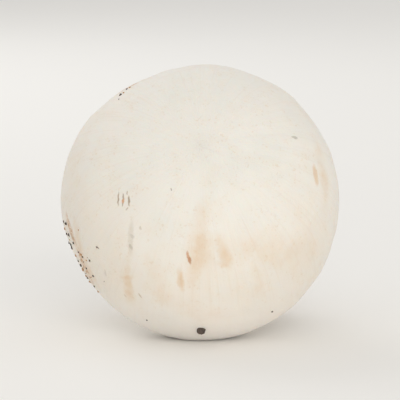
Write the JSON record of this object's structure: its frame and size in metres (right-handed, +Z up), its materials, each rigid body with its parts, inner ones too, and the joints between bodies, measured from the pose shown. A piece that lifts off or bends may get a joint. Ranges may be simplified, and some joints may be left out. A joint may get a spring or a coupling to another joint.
{
  "type": "button mushroom",
  "caption": "White button mushroom lying on its side: round cap with a rolled-in margin, gills, torn veil and short cut stem, one grown solid.",
  "frame": {"origin": "on the ground, below the middle of the mushroom's bounding box", "axes": "+Z up from the ground the mushroom lies on; the crown of the cap points to -Y and about 35 degrees up, the cut end of the stem to +Y and down; +X is to the right of a viewer who faces the crown"},
  "size_m": [0.0418, 0.042, 0.0398],
  "materials": {
    "cap_skin": "matte cream white skin with faint tan bruises",
    "gill_flesh": "matte pinkish brown",
    "stem_flesh": "matte fibrous cream, tan where cut",
    "soil_crumbs": "matte dark brown crumbs of peat"
  },
  "bodies": {
    "root": {"button_mushroom": "cap_skin"}
  },
  "joints": []
}
